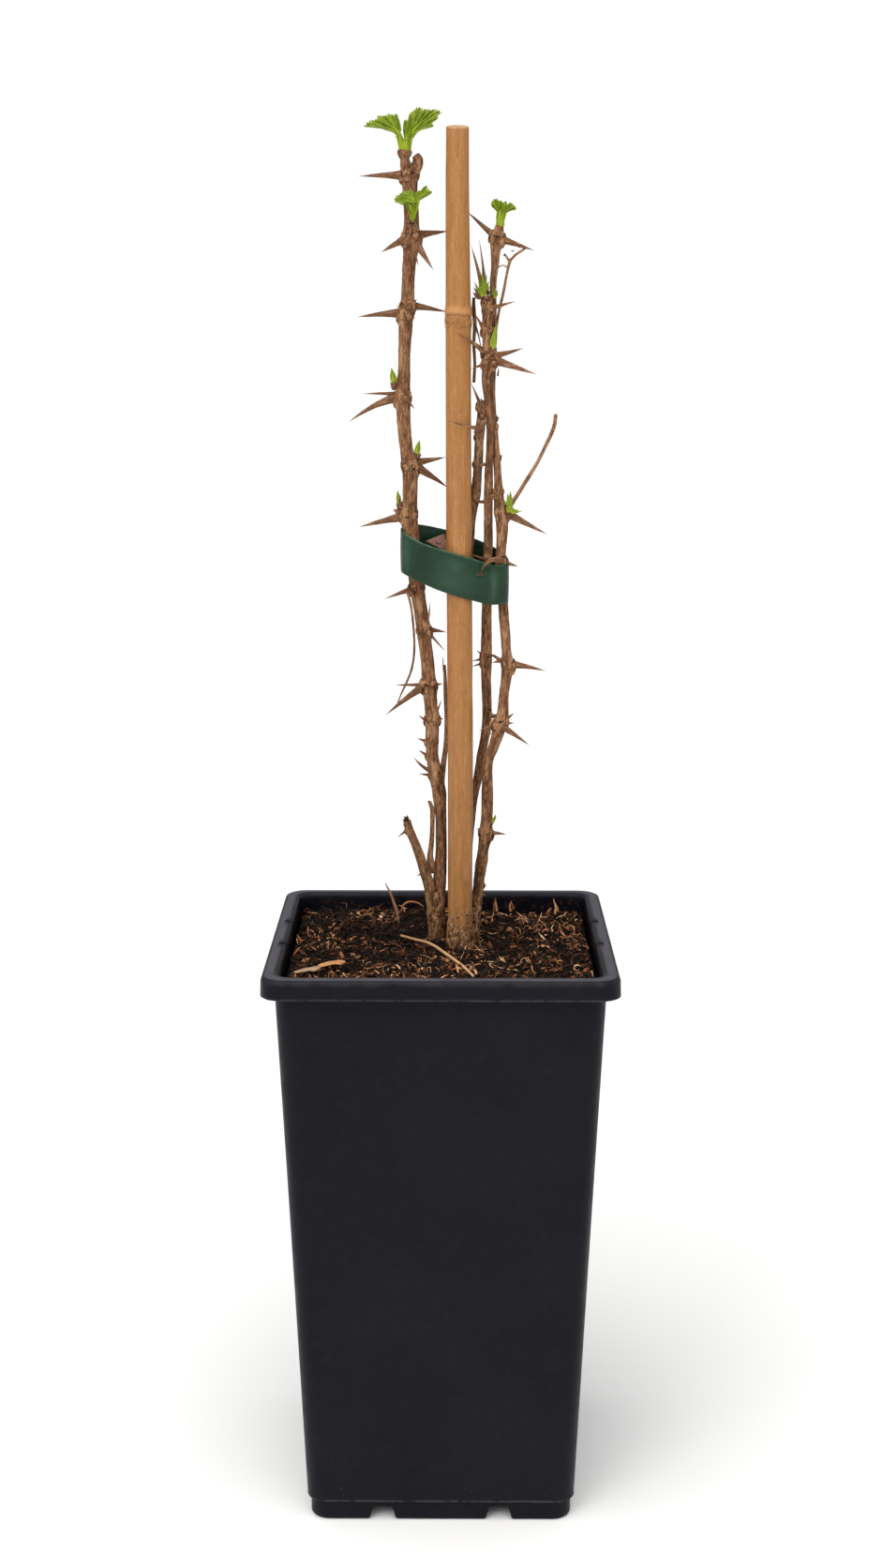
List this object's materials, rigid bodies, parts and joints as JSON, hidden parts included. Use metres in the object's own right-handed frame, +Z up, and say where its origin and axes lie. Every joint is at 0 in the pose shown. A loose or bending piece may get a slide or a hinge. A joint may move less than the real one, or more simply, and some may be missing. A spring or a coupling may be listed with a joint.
{
  "type": "potted gooseberry bush",
  "caption": "Young thorny gooseberry bush with its first leaves, tied to a bamboo cane in a tall square black nursery pot of compost",
  "frame": {"origin": "on the ground at the middle of the pot's foot", "axes": "+X right, -Y the front of the pot, +Z up"},
  "size_m": [0.1308, 0.1308, 0.5287],
  "materials": {
    "pot_plastic": "fine moulded matt, soft sheen",
    "compost": "crumbly dark peat and bark fibre",
    "bamboo": "smooth satin, fine lengthwise grain",
    "tie_plastic": "soft gloss",
    "bark": "dry ridged bark",
    "bark_young": "dry thin bark",
    "leaf": "soft matt young leaf",
    "bud": "soft matt bud scales",
    "straw": "dry straw",
    "chip": "rough bark chip",
    "dry_leaf": "dry papery"
  },
  "bodies": {
    "root": {"bamboo_cane": "bamboo", "bark_chip": "chip", "bud_left_lower": "bud", "bud_left_middle": "bud", "bud_left_upper": "bud", "bud_right_long": "bud", "bud_right_low": "bud", "bud_right_small": "bud", "bud_right_tie": "bud", "bud_right_top": "bud", "compost": "compost", "dry_leaf_scrap": "dry_leaf", "leaf_mid_left_1": "leaf", "leaf_mid_left_2": "leaf", "leaf_mid_left_3": "leaf", "leaf_top_left_1": "leaf", "leaf_top_left_2": "leaf", "leaf_top_left_3": "leaf", "leaf_top_right_1": "leaf", "leaf_top_right_2": "leaf", "leaf_top_right_3": "leaf", "pot": "pot_plastic", "root_crown": "bark", "stem_left": "bark", "stem_left_inner": "bark_young", "stem_left_side_shoot": "bark_young", "stem_left_stub": "bark", "stem_right_inner": "bark", "stem_right_mid": "bark", "stem_right_outer": "bark", "stick_upright": "straw", "straw": "straw", "tie_band": "tie_plastic", "twig_left_hanging": "bark", "twig_right": "bark_young", "twig_right_dry": "bark", "twig_right_top": "bark_young", "wood_chip": "chip"}
  },
  "joints": []
}
